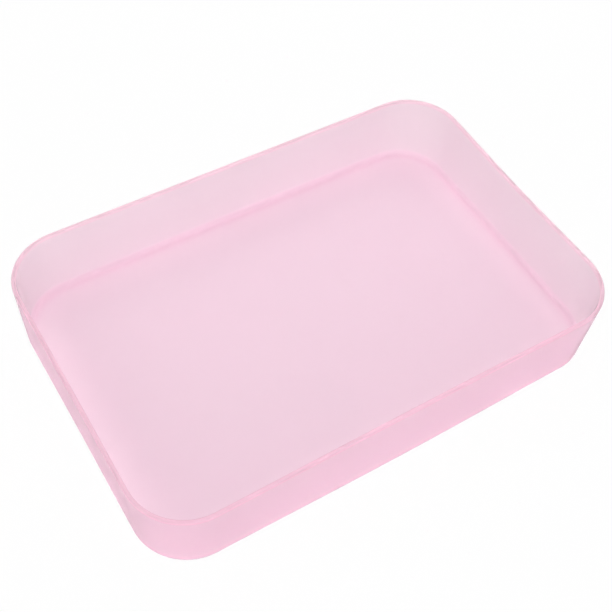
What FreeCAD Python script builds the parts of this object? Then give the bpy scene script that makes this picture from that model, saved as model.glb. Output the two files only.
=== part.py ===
import FreeCAD, Part
import os

# Slab mould tray for soap: one thin-walled flexible moulding, open at the top
# Millimetres. The origin is the middle of the underside, +X runs along the length and +Z up

# Driving dimensions
rim_length = 250.0
rim_width = 167.0
tray_height = 40.0
rim_corner_radius = 28.0
wall_thickness = 2.0
floor_thickness = 2.0
wall_taper = 1.2
lip_radius = 0.7
floor_fillet_radius = 2.5
underside_edge_radius = 1.2

# The cut of the cavity goes on a little above the rim, so that the mouth is cleanly open
cut_overrun = floor_thickness

# The rim's two roundings leave a narrow flat between them on a thin wall
lip_share_of_wall = 0.4
lip_rounding = min(lip_radius, lip_share_of_wall * wall_thickness)

# The tray is longest and widest on a line just under the rounding of its rim
rim_line = tray_height - lip_rounding


def wall_inset(height):
    """How far the outer face of the wall stands inside the rim's outline at a height."""
    return wall_taper * (1.0 - height / rim_line)


def outline(inset, height):
    """The rim's rounded rectangle moved inwards by inset, as a closed wire at a height."""
    half_length = rim_length / 2.0 - inset
    half_width = rim_width / 2.0 - inset
    radius = rim_corner_radius - inset
    diagonal = radius * 0.5 ** 0.5
    edges = []
    for x_side, y_side in ((1, -1), (1, 1), (-1, 1), (-1, -1)):
        centre = FreeCAD.Vector(x_side * (half_length - radius), y_side * (half_width - radius), height)
        on_x = centre + FreeCAD.Vector(x_side * radius, 0, 0)
        on_y = centre + FreeCAD.Vector(0, y_side * radius, 0)
        middle = centre + FreeCAD.Vector(x_side * diagonal, y_side * diagonal, 0)
        start, end = (on_x, on_y) if x_side * y_side > 0 else (on_y, on_x)
        if edges:
            edges.append(Part.LineSegment(edges[-1].Vertexes[-1].Point, start).toShape())
        edges.append(Part.Arc(start, middle, end).toShape())
    edges.append(Part.LineSegment(edges[-1].Vertexes[-1].Point, edges[0].Vertexes[0].Point).toShape())
    return Part.Wire(edges)


def level_edges(solid, height):
    """The edges of a solid that lie flat at a height."""
    tolerance = 1e-4
    found = []
    for edge in solid.Edges:
        box = edge.BoundBox
        if abs(box.ZMin - height) < tolerance and abs(box.ZMax - height) < tolerance:
            found.append(edge)
    return found


def outer_body():
    """The tray without its cavity: leaning walls and a rounded edge round the underside."""
    sections = [
        outline(wall_inset(0.0), 0.0),
        outline(wall_inset(tray_height), tray_height),
    ]
    body = Part.makeLoft(sections, True, True)
    return body.makeFillet(underside_edge_radius, level_edges(body, 0.0))


def cavity():
    """The space that the soap is poured into, carried on above the rim so that it cuts cleanly."""
    top = tray_height + cut_overrun
    sections = [
        outline(wall_inset(floor_thickness) + wall_thickness, floor_thickness),
        outline(wall_inset(top) + wall_thickness, top),
    ]
    space = Part.makeLoft(sections, True, True)
    return space.makeFillet(floor_fillet_radius, level_edges(space, floor_thickness))


def mould_tray():
    """The whole moulding, with both top edges of its rim rounded."""
    tray = outer_body().cut(cavity())
    return tray.makeFillet(lip_rounding, level_edges(tray, tray_height))


def write_node(name, shape):
    """Write one sub-part to its own file and print what it measures."""
    solid = shape.Solids[0]
    box = solid.optimalBoundingBox()
    size = (round(box.XLength, 3), round(box.YLength, 3), round(box.ZLength, 3))
    print(name, "solids", len(shape.Solids), "valid", solid.isValid(), "size", size)
    print(name, "volume in cm3", round(solid.Volume / 1000.0, 3), "lowest point", round(box.ZMin, 4))
    solid.exportStep("parts/" + name + ".step")


os.makedirs("parts", exist_ok=True)
write_node("mould_tray", mould_tray())
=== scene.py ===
# %% [markdown]
# # A frosted slab mould tray
# This notebook dresses one real object: a shallow tray in which soap is cast as a flat slab. It is a
# single moulding in cloudy pink silicone, with thin leaning walls, large rounded corners and a fine
# rim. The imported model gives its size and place, and everything here is measured from that, in
# metres, with the origin in the middle of the underside and Z pointing up.

# %% Load the frame
from math import cos, pi, radians, sin

import bpy
from mathutils import Matrix, Vector


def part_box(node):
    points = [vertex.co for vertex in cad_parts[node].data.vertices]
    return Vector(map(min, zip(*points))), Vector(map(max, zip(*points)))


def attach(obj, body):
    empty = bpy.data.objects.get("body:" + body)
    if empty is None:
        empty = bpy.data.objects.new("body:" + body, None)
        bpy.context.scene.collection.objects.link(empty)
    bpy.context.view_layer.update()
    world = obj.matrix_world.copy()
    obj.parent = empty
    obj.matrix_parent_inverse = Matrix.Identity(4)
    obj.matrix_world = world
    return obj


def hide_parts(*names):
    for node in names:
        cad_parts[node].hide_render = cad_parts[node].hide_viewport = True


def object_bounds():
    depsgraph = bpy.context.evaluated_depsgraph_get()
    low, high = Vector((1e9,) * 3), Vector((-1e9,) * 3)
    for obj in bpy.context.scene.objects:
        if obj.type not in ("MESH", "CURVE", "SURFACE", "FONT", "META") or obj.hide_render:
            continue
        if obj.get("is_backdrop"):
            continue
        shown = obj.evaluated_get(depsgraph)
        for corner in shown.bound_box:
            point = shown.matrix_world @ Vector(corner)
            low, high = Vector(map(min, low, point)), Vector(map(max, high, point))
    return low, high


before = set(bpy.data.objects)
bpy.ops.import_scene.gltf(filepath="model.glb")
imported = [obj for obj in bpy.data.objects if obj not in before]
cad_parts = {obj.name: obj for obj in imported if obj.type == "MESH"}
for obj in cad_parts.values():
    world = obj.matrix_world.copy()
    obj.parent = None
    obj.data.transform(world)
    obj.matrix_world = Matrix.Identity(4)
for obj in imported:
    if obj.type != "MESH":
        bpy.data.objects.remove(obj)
frame_box = [list(corner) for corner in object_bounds()]
MM = 0.001
low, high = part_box("mould_tray")
length, width, height = (high[axis] - low[axis] for axis in range(3))
print("tray in mm:", [round(value / MM, 1) for value in (length, width, height)])

# %% [markdown]
# ## The camera
# The camera comes first, because every comparison with the real tray depends on it. It looks down
# on one corner from about 54 degrees above the table, far enough away that the long sides converge
# only a little. It is written as a place and three turns: a heading, an elevation and a small roll,
# because the picture of the real tray is held slightly askew. Matrices joined in that order are
# easier to read than one set of Euler angles, in which the three turns would be mixed.

# %% Place the camera
camera_elevation = 53.53
camera_heading = 36.82
camera_roll = 6.45
camera_lens = 60.99
camera_film_width = 36.0
camera_place = Vector((-182.0, -239.5, 424.3)) * MM


def add_camera():
    """A camera that looks along its heading, down by its elevation, rolled about its own axis."""
    data = bpy.data.cameras.new("studio_camera")
    data.lens = camera_lens
    data.sensor_width = camera_film_width
    data.dof.use_dof = False
    camera = bpy.data.objects.new("studio_camera", data)
    bpy.context.scene.collection.objects.link(camera)
    turn = Matrix.Rotation(radians(-camera_heading), 4, "Z")
    tilt = Matrix.Rotation(radians(90.0 - camera_elevation), 4, "X")
    roll = Matrix.Rotation(radians(camera_roll), 4, "Z")
    camera.matrix_world = Matrix.Translation(camera_place) @ turn @ tilt @ roll
    bpy.context.scene.camera = camera
    return camera


camera = add_camera()
print("camera in mm:", [round(value / MM, 1) for value in camera.matrix_world.translation])

# %% [markdown]
# ## The section of the moulding
# A moulding is easiest to think of as one section carried round an outline. The section is written
# as points, each a distance inwards from the rim's outermost line and a height above the table.
# Two walks start from that outermost line: one goes down the outside to the underside, the other
# goes over the lip and down the inside to the floor. Rounded stretches are arcs, worked out by a
# formula, so that each radius is a single number.

# %% Write the section
corner_radius = 28.0 * MM
wall_thickness = 2.0 * MM
floor_thickness = 2.0 * MM
wall_taper = 1.2 * MM
lip_radius = 0.7 * MM
floor_fillet_radius = 2.5 * MM
underside_edge_radius = 1.2 * MM
support_gap = 0.8 * MM
rim_line = height - lip_radius
arc_steps = 6
wall_steps = 8


def wall_inset(level):
    """How far in the outer face of the wall stands at a height above the table."""
    return wall_taper * (1.0 - level / rim_line)


def arc(inwards, level, radius, start, end):
    """Points on an arc of the section, from one angle to another, counted from straight inwards."""
    points = []
    for step in range(1, arc_steps + 1):
        angle = radians(start + (end - start) * step / arc_steps)
        points.append((inwards + radius * cos(angle), level + radius * sin(angle)))
    return points


def straight(inset_at, first, last, steps):
    """Points down a leaning wall, with one close to each end to hold the rounding beside it."""
    levels = [first, first + (support_gap if last > first else -support_gap)]
    rest = last - levels[-1]
    levels += [levels[-1] + rest * step / steps for step in range(1, steps)]
    levels += [last + (support_gap if last < first else -support_gap), last]
    return [(inset_at(level), level) for level in levels]


def outside_section():
    """From the outermost line down the outside of the tray, ending on the underside."""
    points = straight(wall_inset, rim_line, underside_edge_radius, wall_steps)
    foot = wall_inset(underside_edge_radius) + underside_edge_radius
    points += arc(foot, underside_edge_radius, underside_edge_radius, 180.0, 270.0)
    points.append((points[-1][0] + support_gap, 0.0))
    return points


def inside_section():
    """From the outermost line over the lip and down the inside, ending on the floor."""
    inner_lip = wall_thickness - lip_radius
    floor_edge = floor_thickness + floor_fillet_radius

    def face(level):
        return wall_inset(level) + wall_thickness

    points = [(0.0, rim_line)] + arc(lip_radius, rim_line, lip_radius, 180.0, 90.0)
    points.append((inner_lip, height))
    points += arc(inner_lip, rim_line, lip_radius, 90.0, 0.0)
    points += straight(face, rim_line - support_gap, floor_edge, wall_steps)
    points += arc(face(floor_edge) + floor_fillet_radius, floor_edge, floor_fillet_radius, 180.0, 270.0)
    points.append((points[-1][0] + support_gap, floor_thickness))
    return points


print("points in the section:", len(outside_section()), "outside,", len(inside_section()), "inside")

# %% [markdown]
# ## The outline, and the walls carried round it
# The outline is a plane cut to the size of the rim, with its corners rounded by a vertex bevel.
# Inset is the tool that does the rest: it offsets the outline evenly, keeps the corners true arcs,
# and its depth lifts or lowers the new face. One inset for each point of the section carries the
# whole wall round at once. A loft or a modifier could do this too, but inset keeps clean rings of
# faces that follow the rim, so the soft edges shade well.

# %% Model the two halves and join them
corner_steps = 18
long_side_cuts = 23
short_side_cuts = 13
weld_distance = 0.01 * MM


def deselect_everything():
    """Start each operator from an empty selection."""
    if bpy.context.object and bpy.context.object.mode != "OBJECT":
        bpy.ops.object.mode_set(mode="OBJECT")
    bpy.ops.object.select_all(action="DESELECT")


def select_edges(mesh_object, chosen):
    """In object mode, select just the edges for which chosen says yes, by their two ends."""
    mesh = mesh_object.data
    for face in mesh.polygons:
        face.select = False
    for vertex in mesh.vertices:
        vertex.select = False
    for edge in mesh.edges:
        start, end = (mesh.vertices[index].co for index in edge.vertices)
        edge.select = chosen(start, end)


def add_outline(name, level):
    """The rim's outermost line as one flat face: a plane with rounded corners and cut sides."""
    deselect_everything()
    bpy.ops.mesh.primitive_plane_add(size=1.0, location=(0.0, 0.0, level))
    outline = bpy.context.object
    outline.name = name
    bpy.ops.object.transform_apply(location=True, rotation=False, scale=False)
    bpy.ops.object.mode_set(mode="EDIT")
    bpy.ops.transform.resize(value=(length, width, 1.0))
    bpy.ops.mesh.bevel(offset=corner_radius, segments=corner_steps, affect="VERTICES")
    bpy.ops.mesh.delete(type="ONLY_FACE")
    for along_x, cuts in ((True, long_side_cuts), (False, short_side_cuts)):
        bpy.ops.object.mode_set(mode="OBJECT")
        select_edges(outline, lambda a, b: abs((b - a)[0 if along_x else 1]) > corner_radius)
        bpy.ops.object.mode_set(mode="EDIT")
        bpy.ops.mesh.select_mode(type="EDGE")
        bpy.ops.mesh.subdivide(number_cuts=cuts)
    bpy.ops.mesh.select_all(action="SELECT")
    bpy.ops.mesh.edge_face_add()
    bpy.ops.mesh.select_mode(type="FACE")
    bpy.ops.mesh.normals_make_consistent(inside=False)
    return outline


def carry_round(section):
    """Inset the selected face once for each point of the section, inwards and up or down."""
    for (inset_here, level_here), (inset_next, level_next) in zip(section, section[1:]):
        bpy.ops.mesh.inset(
            thickness=inset_next - inset_here,
            depth=level_next - level_here,
            use_even_offset=True,
            use_boundary=True,
        )


def add_half(name, section):
    """One half of the moulding, carried round from the outermost line to its flat face."""
    half = add_outline(name, section[0][1])
    carry_round(section)
    print(name, "rings:", len(section))
    return half


def select_flat_face(mesh_object, level):
    """Select the faces that lie flat at a height, and nothing else, and go on in edit mode."""
    bpy.ops.object.mode_set(mode="EDIT")
    bpy.ops.mesh.select_mode(type="FACE")
    bpy.ops.mesh.select_all(action="DESELECT")
    bpy.ops.object.mode_set(mode="OBJECT")
    vertices = mesh_object.data.vertices
    for face in mesh_object.data.polygons:
        face.select = all(abs(vertices[index].co.z - level) < weld_distance for index in face.vertices)
    bpy.ops.object.mode_set(mode="EDIT")


def cut_flat_face(mesh_object, level):
    """Cut the flat face at a height into a grid that meets the rings along the straight sides."""
    cuts = (
        (long_side_cuts, length / 2.0 - corner_radius, (1.0, 0.0, 0.0)),
        (short_side_cuts, width / 2.0 - corner_radius, (0.0, 1.0, 0.0)),
    )
    for count, half_span, across in cuts:
        for step in range(count + 2):
            place = -half_span + 2.0 * half_span * step / (count + 1)
            select_flat_face(mesh_object, level)
            bpy.ops.mesh.bisect(plane_co=[place * part for part in across], plane_no=across)


def model_tray():
    """Both halves, their flat faces cut into grids, welded along the outermost line."""
    halves = []
    for name, section in (("tray_outside", outside_section()), ("tray_skin", inside_section())):
        halves.append(add_half(name, section))
        cut_flat_face(halves[-1], section[-1][1])
        bpy.ops.object.mode_set(mode="OBJECT")
    deselect_everything()
    for half in halves:
        half.select_set(True)
    bpy.context.view_layer.objects.active = halves[-1]
    bpy.ops.object.join()
    tray = bpy.context.object
    bpy.ops.object.mode_set(mode="EDIT")
    bpy.ops.mesh.select_all(action="SELECT")
    bpy.ops.mesh.remove_doubles(threshold=weld_distance)
    bpy.ops.mesh.normals_make_consistent(inside=False)
    bpy.ops.object.mode_set(mode="OBJECT")
    bpy.ops.object.shade_smooth()
    print("tray:", len(tray.data.vertices), "vertices,", len(tray.data.polygons), "faces")
    return tray


tray = model_tray()

# %% [markdown]
# ## The give of a soft moulding
# A soft tray is never quite straight. The rim of its right-hand end is drawn in by about a
# millimetre, the foot of its left-hand end a little less, and the feet of its two long walls belly
# out by as much. Each wall has one amount for its middle and one for its corners. A lattice is the
# gentle way to say this: its cage has two layers, one at the table and one at the rim, each cage
# point is pushed by a smooth formula, and the mesh inside follows without a crease. Sculpting would
# do it too, but it would not be repeatable.

# %% Bend the walls with a lattice
cage_long = 13
cage_short = 9
rim_draw_in = {"right": (1.08, 0.0), "back": (0.06, 0.0), "left": (0.21, 0.0), "front": (0.3, 0.0)}
foot_draw_in = {"right": (0.0, 0.35), "back": (-0.72, 0.0), "left": (0.63, 0.4), "front": (-0.87, 0.0)}


def belly(along, half_side):
    """How much a wall bellies at a distance from its middle: fully there, not at all at the corner."""
    share = min(1.0, abs(along) / (half_side - corner_radius / 2.0))
    return cos(pi / 2.0 * share) ** 2


def give(amounts, along, half_side):
    """How far a wall is drawn in, between its amounts in mm at the middle and at the corners."""
    middle, corner = amounts
    return (corner + (middle - corner) * belly(along, half_side)) * MM


def push_cage_point(rest):
    """Where a cage point goes: each wall is drawn towards the middle by its own amount."""
    amounts = rim_draw_in if rest.z > height / 2.0 else foot_draw_in
    across_x = amounts["right"] if rest.x > 0.0 else amounts["left"]
    across_y = amounts["back"] if rest.y > 0.0 else amounts["front"]
    reach_x, reach_y = rest.x / (length / 2.0), rest.y / (width / 2.0)
    shift_x = -reach_x * give(across_x, rest.y, width / 2.0)
    shift_y = -reach_y * give(across_y, rest.x, length / 2.0)
    return rest + Vector((shift_x, shift_y, 0.0))


def bend_tray(tray):
    """Fit a cage round the tray, push its points, and apply the bend to the mesh."""
    deselect_everything()
    bpy.ops.object.add(type="LATTICE", location=(0.0, 0.0, height / 2.0))
    cage = bpy.context.object
    cage.scale = (length, width, height)
    cage.data.points_u, cage.data.points_v, cage.data.points_w = cage_long, cage_short, 2
    cage.data.interpolation_type_u = "KEY_CATMULL_ROM"
    cage.data.interpolation_type_v = "KEY_CATMULL_ROM"
    cage.data.interpolation_type_w = "KEY_LINEAR"
    bpy.context.view_layer.update()
    to_world, to_cage = cage.matrix_world.copy(), cage.matrix_world.inverted()
    for point in cage.data.points:
        point.co_deform = to_cage @ push_cage_point(to_world @ point.co)
    modifier = tray.modifiers.new("give", "LATTICE")
    modifier.object = cage
    deselect_everything()
    bpy.context.view_layer.objects.active = tray
    bpy.ops.object.modifier_apply(modifier=modifier.name)
    bpy.data.objects.remove(cage)


bend_tray(tray)
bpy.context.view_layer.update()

# %% [markdown]
# ## The pinks of one silicone, with painted light and shade
# The real tray is one mix of pink silicone, yet it doesn't show one pink, and most of its pinks here are
# light and shade painted into the colour. The rim is painted a brighter, deeper pink: a painted glow of
# the light carried up through the height of the wall, which is seen from above. The fillet where the
# walls run into the floor is painted deeper and darker: painted shade in that crease, together with the
# deeper pink of the thicker silicone there. The floor close to the walls is painted paler, as painted
# light where light comes in from more than one side, and the rest of the floor and the foot of the walls
# are painted a touch darker than the walls, as painted shade. Each of these is written here as a pink,
# with the band that it fades in over, in millimetres. The pinks are set so that each place comes close
# to the colour it has on the real tray. They aren't measured from its material.

# %% Name the pinks and their bands
wall_pink = (0.936, 0.803, 0.862, 1.0)
# A touch darker than the wall's pink: painted shade on the floor and the foot of the walls.
floor_shade_pink = (0.917, 0.788, 0.85, 1.0)
# Paler: painted light on the floor close to the walls.
floor_edge_light_pink = (1.0, 0.86, 0.925, 1.0)
# Brighter and deeper: a painted glow of the light carried up the wall into the rim.
rim_glow_pink = (1.0, 0.74, 0.83, 1.0)
# Deeper and darker: painted shade in the floor/wall crease, with the deeper pink of the thicker silicone
# there.
fillet_shade_and_depth_pink = (0.968, 0.772, 0.862, 1.0)

floor_levels = (6.0 * MM, 3.0 * MM)
floor_edge_light_reach = (24.0 * MM, 3.0 * MM)
fillet_shade_reach = (9.0 * MM, 4.0 * MM)
fillet_shade_levels = (5.4 * MM, 3.2 * MM)
rim_glow_levels = (height - 1.9 * MM, height - 0.7 * MM)
print("the rim's pink fades in between these heights in mm:", [round(v / MM, 1) for v in rim_glow_levels])

# %% [markdown]
# ## Small helpers for node trees
# A material is a small machine of boxes and wires. Each of these helpers makes one box or one wire,
# so that the recipes below read as a list of steps. The mask fades softly from none to full between
# two values, as a brush with a soft edge does.

# %% Write the helpers


def add_node(tree, kind, **settings):
    """A new node with its settings, so that each node takes one line."""
    node = tree.nodes.new(kind)
    for name, value in settings.items():
        setattr(node, name, value)
    return node


def feed(tree, socket, value):
    """Link a socket to another, or write a plain value into it."""
    if isinstance(value, bpy.types.NodeSocket):
        tree.links.new(value, socket)
    else:
        socket.default_value = value


def ramp_mask(tree, source, band):
    """A soft mask: none where the source is at the start of the band, full at its end."""
    ramp = add_node(tree, "ShaderNodeMapRange", interpolation_type="SMOOTHSTEP")
    feed(tree, ramp.inputs["Value"], source)
    feed(tree, ramp.inputs["From Min"], band[0])
    feed(tree, ramp.inputs["From Max"], band[1])
    return ramp.outputs["Result"]


def math_node(tree, operation, first, second):
    """A math node of two values, each of them a socket or a number."""
    node = add_node(tree, "ShaderNodeMath", operation=operation)
    feed(tree, node.inputs[0], first)
    feed(tree, node.inputs[1], second)
    return node.outputs["Value"]


def tint(tree, under, over, mask):
    """Lay one pink over another where the mask says so. Each is a socket or a written colour."""
    node = add_node(tree, "ShaderNodeMix", data_type="RGBA")
    colour_sockets = [socket for socket in node.inputs if socket.type == "RGBA"]
    feed(tree, colour_sockets[0], under)
    feed(tree, colour_sockets[1], over)
    feed(tree, node.inputs["Factor"], mask)
    return next(socket for socket in node.outputs if socket.type == "RGBA")


print("helpers ready")

# %% [markdown]
# ## How far inside the rim
# The pinks need to know where on the tray a point lies. Height above the table is easy. The other
# measure is the distance inwards from the rim's outline, and since that is a rounded rectangle, it
# has a short formula: fold the point into one quarter, measure how far it is past the start of the
# corner, and take the straight or the round distance, whichever applies. It is built as a group, so
# that the material sees one box with a clear name.

# %% Build the distance group
def distance_group():
    """A group that measures how far inside the rim's rounded outline a point lies."""
    tree = bpy.data.node_groups.new("distance_from_rim", "ShaderNodeTree")
    tree.interface.new_socket("Position", in_out="INPUT", socket_type="NodeSocketVector")
    for name in ("Half Length", "Half Width", "Corner Radius"):
        tree.interface.new_socket(name, in_out="INPUT", socket_type="NodeSocketFloat")
    tree.interface.new_socket("Distance", in_out="OUTPUT", socket_type="NodeSocketFloat")
    entry = tree.nodes.new("NodeGroupInput")
    result = tree.nodes.new("NodeGroupOutput")
    fold = add_node(tree, "ShaderNodeVectorMath", operation="ABSOLUTE")
    feed(tree, fold.inputs[0], entry.outputs["Position"])
    split = tree.nodes.new("ShaderNodeSeparateXYZ")
    feed(tree, split.inputs["Vector"], fold.outputs["Vector"])
    past = []
    for axis, half in (("X", "Half Length"), ("Y", "Half Width")):
        straight_end = math_node(tree, "SUBTRACT", entry.outputs[half], entry.outputs["Corner Radius"])
        past.append(math_node(tree, "SUBTRACT", split.outputs[axis], straight_end))
    round_part = tree.nodes.new("ShaderNodeCombineXYZ")
    for axis, value in zip("XY", past):
        feed(tree, round_part.inputs[axis], math_node(tree, "MAXIMUM", value, 0.0))
    reach = add_node(tree, "ShaderNodeVectorMath", operation="LENGTH")
    feed(tree, reach.inputs[0], round_part.outputs["Vector"])
    inner = math_node(tree, "MINIMUM", math_node(tree, "MAXIMUM", past[0], past[1]), 0.0)
    outside = math_node(tree, "ADD", reach.outputs["Value"], inner)
    distance = math_node(tree, "SUBTRACT", entry.outputs["Corner Radius"], outside)
    feed(tree, result.inputs["Distance"], distance)
    return tree


from_rim = distance_group()
print("group:", from_rim.name, "with", len(from_rim.nodes), "nodes")

# %% [markdown]
# ## The frosted skin
# Cloudy silicone lets nearly all light through, but so scattered that nothing is seen behind it. A
# principled shader with its transmission high and its roughness near the full does this in the way
# the real material does: a wall lit from behind glows pale, and a wall that shows light which has
# already crossed the tray is a deeper pink. Subsurface scattering is the usual other choice, but it
# doesn't see what lies behind so thin a wall, so the far walls come out too deep and the near ones
# too pale. The roughness drifts a little in slow clouds, as it does where a moulding came out a
# touch glossier in one place than in another, and a shallow grain of about half a millimetre breaks
# what shine is left.

# %% Mix the silicone
silicone_ior = 1.3
silicone_clarity = 0.87
roughness_least, roughness_most = 0.9, 1.0
cloud_scale = 22.0
grain_scale = 1800.0
grain_depth = 0.01 * MM
grain_strength = 0.3


def colour_by_place(tree, place):
    """The pink of each place on the tray, with its painted glow, light and shade, laid over one another
    from the broadest to the finest.
    """
    rim_distance = add_node(tree, "ShaderNodeGroup", node_tree=from_rim)
    feed(tree, rim_distance.inputs["Position"], place)
    feed(tree, rim_distance.inputs["Half Length"], length / 2.0)
    feed(tree, rim_distance.inputs["Half Width"], width / 2.0)
    feed(tree, rim_distance.inputs["Corner Radius"], corner_radius)
    inside = rim_distance.outputs["Distance"]
    split = tree.nodes.new("ShaderNodeSeparateXYZ")
    feed(tree, split.inputs["Vector"], place)
    level = split.outputs["Z"]
    # Painted shade, with a deeper pink, in the fillet where the walls run into the floor.
    at_fillet_shade = math_node(
        tree, "MULTIPLY", ramp_mask(tree, inside, fillet_shade_reach), ramp_mask(tree, level, fillet_shade_levels)
    )
    # Painted light on the floor close to the walls.
    colour = tint(tree, floor_shade_pink, floor_edge_light_pink, ramp_mask(tree, inside, floor_edge_light_reach))
    # The floor's touch darker pink is painted shade.
    colour = tint(tree, wall_pink, colour, ramp_mask(tree, level, floor_levels))
    colour = tint(tree, colour, fillet_shade_and_depth_pink, at_fillet_shade)
    # Painted glow on the rim.
    return tint(tree, colour, rim_glow_pink, ramp_mask(tree, level, rim_glow_levels))


def add_noise(tree, place, scale):
    """Soft noise that is fixed to the tray, at a scale."""
    noise = tree.nodes.new("ShaderNodeTexNoise")
    feed(tree, noise.inputs["Vector"], place)
    feed(tree, noise.inputs["Scale"], scale)
    return noise.outputs["Fac"]


def frosted_silicone():
    """Cloudy translucent silicone, with a painted glow, painted light and painted shade in its pinks."""
    material = bpy.data.materials.new("frosted_silicone")
    material.use_nodes = True
    tree = material.node_tree
    shader = tree.nodes["Principled BSDF"]
    shader.inputs["IOR"].default_value = silicone_ior
    shader.inputs["Transmission Weight"].default_value = silicone_clarity
    place = tree.nodes.new("ShaderNodeTexCoord").outputs["Object"]
    feed(tree, shader.inputs["Base Color"], colour_by_place(tree, place))
    drift = tree.nodes.new("ShaderNodeMapRange")
    feed(tree, drift.inputs["Value"], add_noise(tree, place, cloud_scale))
    feed(tree, drift.inputs["To Min"], roughness_least)
    feed(tree, drift.inputs["To Max"], roughness_most)
    feed(tree, shader.inputs["Roughness"], drift.outputs["Result"])
    grain = tree.nodes.new("ShaderNodeBump")
    feed(tree, grain.inputs["Height"], add_noise(tree, place, grain_scale))
    feed(tree, grain.inputs["Strength"], grain_strength)
    feed(tree, grain.inputs["Distance"], grain_depth)
    feed(tree, shader.inputs["Normal"], grain.outputs["Normal"])
    return material


tray.data.materials.clear()
tray.data.materials.append(frosted_silicone())
print("material:", tray.data.materials[0].name)

# %% [markdown]
# ## The table and the backdrop
# The real tray was photographed on plain white, with hardly a shadow. The table is matt paper that
# takes the tray's shadow, mixed with a share of plain white for the camera, so that it reads as a
# white page however the lamps stand. The backdrop does the same behind the tray. Light that leaves
# the silicone towards them sees a smaller share of that white, since the page it would meet is
# really lit by the same soft lamps as the tray.

# %% Lay the table and hang the backdrop
table_seen = 0.97
backdrop_seen = 1.0
seen_through = 0.55
table_size = 6.0
table_gap = 0.2 * MM
paper_white = (0.97, 0.97, 0.97, 1.0)
plain_white = (1.0, 1.0, 1.0, 1.0)
world_light = 0.3


def background_share(tree, seen):
    """How much of plain white a ray sees: a camera's ray its own share, a ray out of the tray another."""
    path = tree.nodes.new("ShaderNodeLightPath")
    through = math_node(tree, "MAXIMUM", path.outputs["Is Glossy Ray"], path.outputs["Is Transmission Ray"])
    through = math_node(tree, "MULTIPLY", through, seen_through)
    direct = math_node(tree, "MULTIPLY", path.outputs["Is Camera Ray"], seen)
    return math_node(tree, "MAXIMUM", direct, through)


def mix_in_white(tree, lit, white, seen, output):
    """Send a lit surface to the output, with the background's share of white mixed in."""
    mix = tree.nodes.new("ShaderNodeMixShader")
    feed(tree, mix.inputs["Fac"], background_share(tree, seen))
    feed(tree, mix.inputs[1], lit)
    feed(tree, mix.inputs[2], white)
    feed(tree, output.inputs["Surface"], mix.outputs["Shader"])


def add_table():
    """A plain paper table under the tray."""
    deselect_everything()
    bpy.ops.mesh.primitive_plane_add(size=table_size, location=(0.0, 0.0, -table_gap))
    table = bpy.context.object
    table.name = "studio_table"
    bpy.ops.object.transform_apply(location=True, rotation=False, scale=False)
    material = bpy.data.materials.new("studio_paper")
    material.use_nodes = True
    tree = material.node_tree
    tree.nodes.clear()
    output = tree.nodes.new("ShaderNodeOutputMaterial")
    paper = tree.nodes.new("ShaderNodeBsdfDiffuse")
    feed(tree, paper.inputs["Color"], paper_white)
    white = tree.nodes.new("ShaderNodeEmission")
    mix_in_white(tree, paper.outputs["BSDF"], white.outputs["Emission"], table_seen, output)
    table.data.materials.append(material)
    table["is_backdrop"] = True
    return table


def add_world():
    """Even white light from all round, in front of a backdrop that reads as plain white."""
    world = bpy.data.worlds.new("studio")
    bpy.context.scene.world = world
    world.use_nodes = True
    tree = world.node_tree
    light = tree.nodes["Background"]
    feed(tree, light.inputs["Color"], plain_white)
    feed(tree, light.inputs["Strength"], world_light)
    backdrop = tree.nodes.new("ShaderNodeBackground")
    feed(tree, backdrop.inputs["Color"], plain_white)
    output = tree.nodes["World Output"]
    mix_in_white(tree, light.outputs["Background"], backdrop.outputs["Background"], backdrop_seen, output)


table = add_table()
add_world()
bpy.context.scene.view_settings.view_transform = "Standard"
print("table", table.name, "and world light", world_light)

# %% [markdown]
# ## The lamps
# The light on the real tray is soft and comes from many sides, most of it from the front and from
# behind the far corner. Each lamp is a square of light that faces the tray. Soft squares are used
# in place of one sun because frosted silicone shows any hard shadow as a dirty patch. Together with
# the world's light they come close to the plain level of 1, at which a white sheet looks white.

# %% Hang the lamps


def add_lamp(name, place, size, power):
    """A square soft light that faces the middle of the tray, and the level it gives on the table."""
    data = bpy.data.lights.new(name, "AREA")
    data.shape = "SQUARE"
    data.size = size
    data.energy = power
    lamp = bpy.data.objects.new(name, data)
    bpy.context.scene.collection.objects.link(lamp)
    lamp.location = place
    towards_tray = -Vector(place)
    lamp.rotation_euler = towards_tray.to_track_quat("-Z", "Y").to_euler()
    slant = place[2] / towards_tray.length
    return power * slant / (pi * towards_tray.length) ** 2


table_level = world_light
table_level += add_lamp("soft_top", (0.0, 0.0, 1.2), 0.9, 0.75)
table_level += add_lamp("soft_front", (-0.5, -0.9, 0.8), 0.9, 3.35)
table_level += add_lamp("soft_front_low", (-0.3, -1.0, 0.4), 0.6, 1.95)
table_level += add_lamp("soft_left", (-1.0, 0.1, 0.7), 0.9, 2.25)
table_level += add_lamp("soft_far_high", (0.35, 0.5, 1.0), 0.5, 3.5)
table_level += add_lamp("soft_corner", (0.25, 0.25, 0.45), 0.3, 0.35)
print("level of light on the table:", round(table_level, 2))

# %% [markdown]
# ## Handing over
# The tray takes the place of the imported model's one node and rides on its one body. It is measured
# once more here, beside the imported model, because the dressed tray has to stay inside the same box.

# %% Tie the tray to the frame
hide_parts("mould_tray")
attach(tray, "root")
visual_box = [list(corner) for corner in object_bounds()]
for name, box in (("packed", frame_box), ("dressed", visual_box)):
    print(name, "box in mm:", [[round(value / MM, 2) for value in corner] for corner in box])
